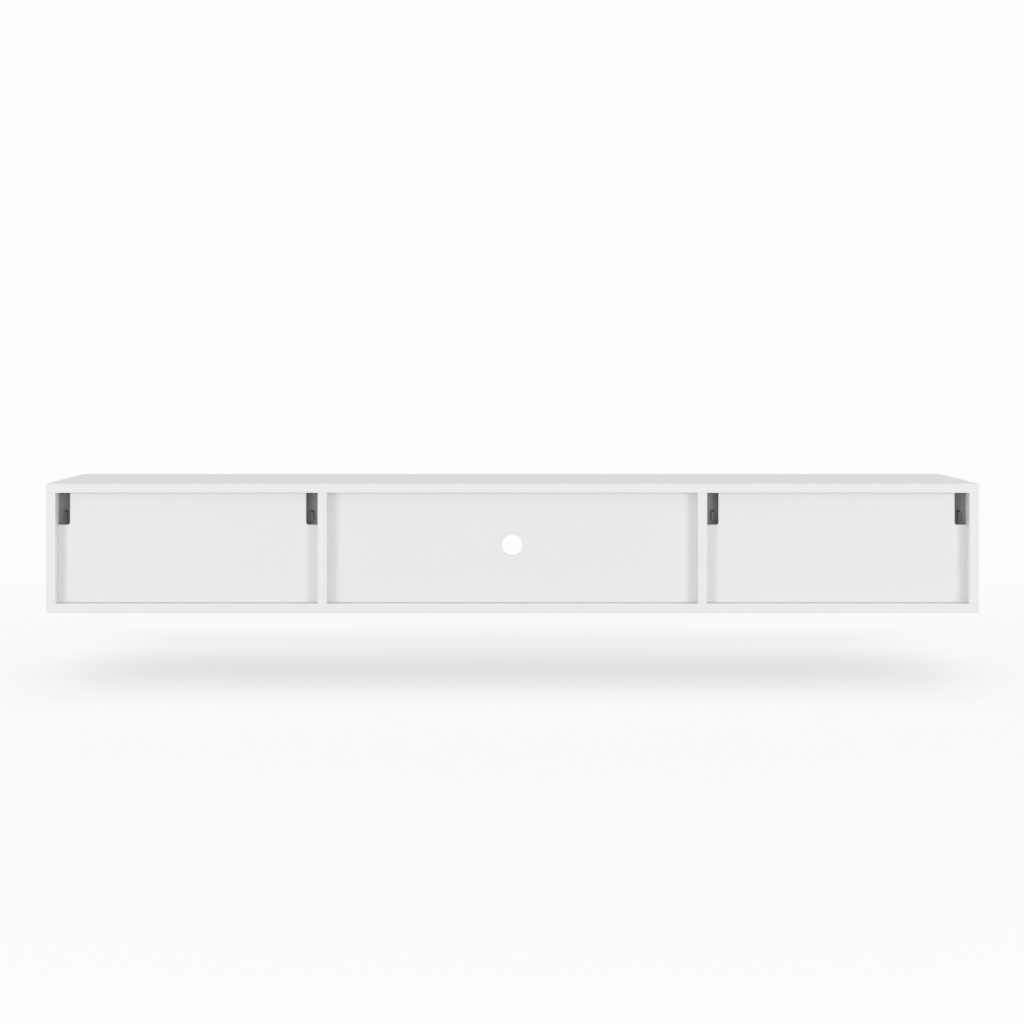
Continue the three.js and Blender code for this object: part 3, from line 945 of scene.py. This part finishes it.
class CONSOLE_OT_screws(bpy.types.Operator):
    """Set the screws of the stays, latches and hangers"""

    bl_idname = "console.screws"
    bl_label = "Screws"

    def execute(self, context):
        sizes = context.scene.console_fasteners
        settings = context.scene.console_fittings
        zinc = steel_material("screw_zinc", settings.steel_colour, settings, AXIS_Y, SCREW_ROUGHNESS)
        for bay, side in BAYS.items():
            for edge, sign in EDGES.items():
                inward = -side * sign
                self.stay_screws(sizes, zinc, bay, edge, inward)
                self.hanger_screws(sizes, zinc, bay, edge, inward)
            self.latch_screws(sizes, zinc, bay)
        return {"FINISHED"}

    def stay_screws(self, sizes, zinc, bay, edge, inward):
        stay = f"{bay}_{edge}_stay"
        low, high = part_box(stay + "_housing")
        face = (low.x if inward > 0 else high.x) + inward * STAY_PLATE
        column = high.y - PLATE_HOLE_INSET
        places = [(Vector((face, column, row)), (inward, 0, 0)) for row in hole_rows(low, high)]
        placed_heads(stay + "_housing_screws", screw_head(sizes), places, zinc, "root")
        low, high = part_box(stay + "_bracket")
        column = high.x - PLATE_HOLE_INSET if inward > 0 else low.x + PLATE_HOLE_INSET
        face = low.y + BRACKET_PLATE
        places = [(Vector((column, face, row)), (0, 1, 0)) for row in hole_rows(low, high)]
        placed_heads(stay + "_bracket_screws", screw_head(sizes), places, zinc, bay + "_flap")

    def hanger_screws(self, sizes, zinc, bay, edge, inward):
        housing = f"{bay}_{edge}_hanger_housing"
        low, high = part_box(housing)
        face = high.x if inward > 0 else low.x
        column = low.y + HANGER_SCREW_COLUMN * (high.y - low.y)
        rows = [low.z + share * (high.z - low.z) for share in HANGER_SCREW_ROWS]
        places = [(Vector((face, column, row)), (inward, 0, 0)) for row in rows]
        placed_heads(housing + "_screws", screw_head(sizes), places, zinc, "root")

    def latch_screws(self, sizes, zinc, bay):
        low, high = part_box(bay + "_latch_housing")
        middle = (low + high) / 2
        reach = (high.x - low.x + LATCH_BARREL) / 4
        face = high.z - LATCH_FLANGE
        places = [(Vector((middle.x + end * reach, middle.y, face)), (0, 0, -1)) for end in (-1, 1)]
        head = screw_head(sizes, LATCH_SCREW_SHARE)
        placed_heads(bay + "_latch_housing_screws", head, places, zinc, "root")
        low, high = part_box(bay + "_latch_strike")
        middle = (low + high) / 2
        reach = (high.x - low.x) / 2 - STRIKE_HOLE_INSET
        places = [(Vector((middle.x + end * reach, high.y, middle.z)), (0, 1, 0)) for end in (-1, 1)]
        head = cross_head(STRIKE_HEAD, sizes.strike_screw_radius, sizes.strike_screw_height)
        placed_heads(bay + "_latch_strike_screws", head, places, zinc, bay + "_flap")


class CONSOLE_OT_stage(bpy.types.Operator):
    """Set up the floor, the light and the camera of the photograph"""

    bl_idname = "console.stage"
    bl_label = "Stage"

    def execute(self, context):
        studio = context.scene.console_studio
        self.floor(studio)
        self.sky(context.scene, studio)
        self.lamps(studio)
        self.camera(context.scene, studio)
        context.scene.view_settings.view_transform = "Standard"
        return {"FINISHED"}

    def floor(self, studio):
        """A wide floor that keeps the shadow and fades into the backdrop with distance."""
        grid = bmesh.new()
        bmesh.ops.create_grid(grid, x_segments=1, y_segments=1, size=FLOOR_REACH)
        bmesh.ops.translate(grid, verts=grid.verts[:], vec=(0, 0, -studio.floor_drop))
        mesh = bpy.data.meshes.new("floor")
        grid.to_mesh(mesh)
        grid.free()
        floor = bpy.data.objects.new("floor", mesh)
        bpy.context.scene.collection.objects.link(floor)
        material = bpy.data.materials.new("studio_floor")
        material.use_nodes = True
        material.node_tree.nodes.clear()
        start = Term(material.node_tree)
        tones = (with_alpha(scaled(studio.floor_colour, share)) for share in (1, studio.floor_share))
        plain, muted = (start.node("ShaderNodeBsdfDiffuse", inputs={"Color": tone}) for tone in tones)
        backdrop = with_alpha(studio.backdrop_colour)
        white, glow, dimmed = (
            start.node("ShaderNodeEmission", inputs={"Color": backdrop, "Strength": strength})
            for strength in (1.0, studio.floor_lift, studio.floor_lift - studio.shade_depth)
        )
        place = start.node("ShaderNodeTexCoord", output="Object")
        shade = self.contact_shade(studio, place)
        shaded = start.node("ShaderNodeMixShader", inputs={0: shade, 1: glow, 2: dimmed})
        lit = start.node("ShaderNodeAddShader", inputs={0: muted, 1: shaded})
        distance = start.node("ShaderNodeVectorMath", {"operation": "LENGTH"}, {0: place}, output="Value")
        fade = distance.rising(studio.fade_from, studio.fade_to)
        swept = start.node("ShaderNodeMixShader", inputs={0: fade, 1: lit, 2: white})
        mixed = start.node("ShaderNodeMixShader", inputs={0: self.seen(start), 1: plain, 2: swept})
        start.node("ShaderNodeOutputMaterial", inputs={"Surface": mixed})
        wear(floor, material)

    def contact_shade(self, studio, place):
        """1 under the console and 0 away from it, with a soft edge."""
        east, north = (
            place.node("ShaderNodeSeparateXYZ", inputs={"Vector": place}, output=axis)
            for axis in (AXIS_X, AXIS_Y)
        )
        width, depth = studio.shade_size
        past_ends = abs(east) - width / 2
        past_sides = abs(north - studio.shade_shift) - depth / 2
        soft = studio.shade_softness / 2
        return past_ends.higher(past_sides).falling(-soft, soft)

    def seen(self, start):
        """1 for the rays that show the backdrop: the camera's, and those that gloss and glass send on."""
        camera, glossy, transmitted = (start.node("ShaderNodeLightPath", output=name) for name in SEEN_RAYS)
        return camera.higher(glossy).higher(transmitted)

    def sky(self, scene, studio):
        """Even light from all round, with the plain backdrop for the rays that show it."""
        world = bpy.data.worlds.new("studio_sky")
        scene.world = world
        world.use_nodes = True
        world.node_tree.nodes.clear()
        start = Term(world.node_tree)
        even, white = (
            start.node("ShaderNodeBackground", inputs={"Color": with_alpha(colour), "Strength": strength})
            for colour, strength in (((1, 1, 1), studio.sky_level), (studio.backdrop_colour, 1.0))
        )
        mixed = start.node("ShaderNodeMixShader", inputs={0: self.seen(start), 1: even, 2: white})
        start.node("ShaderNodeOutputWorld", inputs={"Surface": mixed})

    def lamps(self, studio):
        """Two lamps at the wall side and a wide strip in front, turned to the console and never seen."""
        across, away, height = studio.lamp_place
        lamps = {
            "right_lamp": (studio.lamp_power, studio.lamp_size, (across, away, height)),
            "left_lamp": (studio.lamp_power, studio.lamp_size, (-across, away, height)),
            "front_strip": (studio.fill_power, studio.fill_size, studio.fill_place),
        }
        for name, (power, size, place) in lamps.items():
            light = bpy.data.lights.new(name, "AREA")
            light.shape = "RECTANGLE"
            light.size, light.size_y = size
            light.energy = power
            lamp = bpy.data.objects.new(name, light)
            lamp.location = place
            lamp.rotation_euler = Vector((place[0], place[1], 0)).to_track_quat("Z", "Y").to_euler()
            lamp.visible_camera = False
            lamp.visible_glossy = name != "front_strip"
            bpy.context.scene.collection.objects.link(lamp)

    def camera(self, scene, studio):
        """A level camera on the wall side, shifted so that it frames what the photograph does."""
        lens = bpy.data.cameras.new("photo_camera")
        camera = bpy.data.objects.new("photo_camera", lens)
        scene.collection.objects.link(camera)
        lens.sensor_width = SENSOR_WIDTH
        lens.lens = lens.sensor_width * studio.focal_pixels / studio.photo_side
        lens.shift_x = 0.5 - studio.principal_column / studio.photo_side
        lens.shift_y = studio.principal_row / studio.photo_side - 0.5
        lens.clip_end = CAMERA_REACH
        camera.location = studio.camera_place
        camera.rotation_euler = (math.pi / 2, 0, math.pi)
        scene.camera = camera


class CONSOLE_PT_panel(bpy.types.Panel):
    """Lists the steps of dressing the console"""

    bl_idname = "CONSOLE_PT_panel"
    bl_label = "Media console"
    bl_space_type = "VIEW_3D"
    bl_region_type = "UI"
    bl_category = "Console"

    def draw(self, context):
        for step in STEPS:
            self.layout.operator(step.bl_idname)


STEPS = (
    CONSOLE_OT_boards,
    CONSOLE_OT_backs,
    CONSOLE_OT_fittings,
    CONSOLE_OT_cam_locks,
    CONSOLE_OT_screws,
    CONSOLE_OT_stage,
)
SETTINGS = {
    "console_boards": BoardFinish,
    "console_fittings": FittingFinish,
    "console_fasteners": FastenerSizes,
    "console_studio": Studio,
}


def register():
    for group in SETTINGS.values():
        bpy.utils.register_class(group)
    for step in (*STEPS, CONSOLE_PT_panel):
        bpy.utils.register_class(step)
    for name, group in SETTINGS.items():
        setattr(bpy.types.Scene, name, PointerProperty(type=group))


def unregister():
    for name in SETTINGS:
        delattr(bpy.types.Scene, name)
    for step in (CONSOLE_PT_panel, *reversed(STEPS)):
        bpy.utils.unregister_class(step)
    for group in reversed(SETTINGS.values()):
        bpy.utils.unregister_class(group)


def main():
    register()
    for step in STEPS:
        group, name = step.bl_idname.split(".")
        getattr(getattr(bpy.ops, group), name)()


if __name__ == "__main__":
    main()
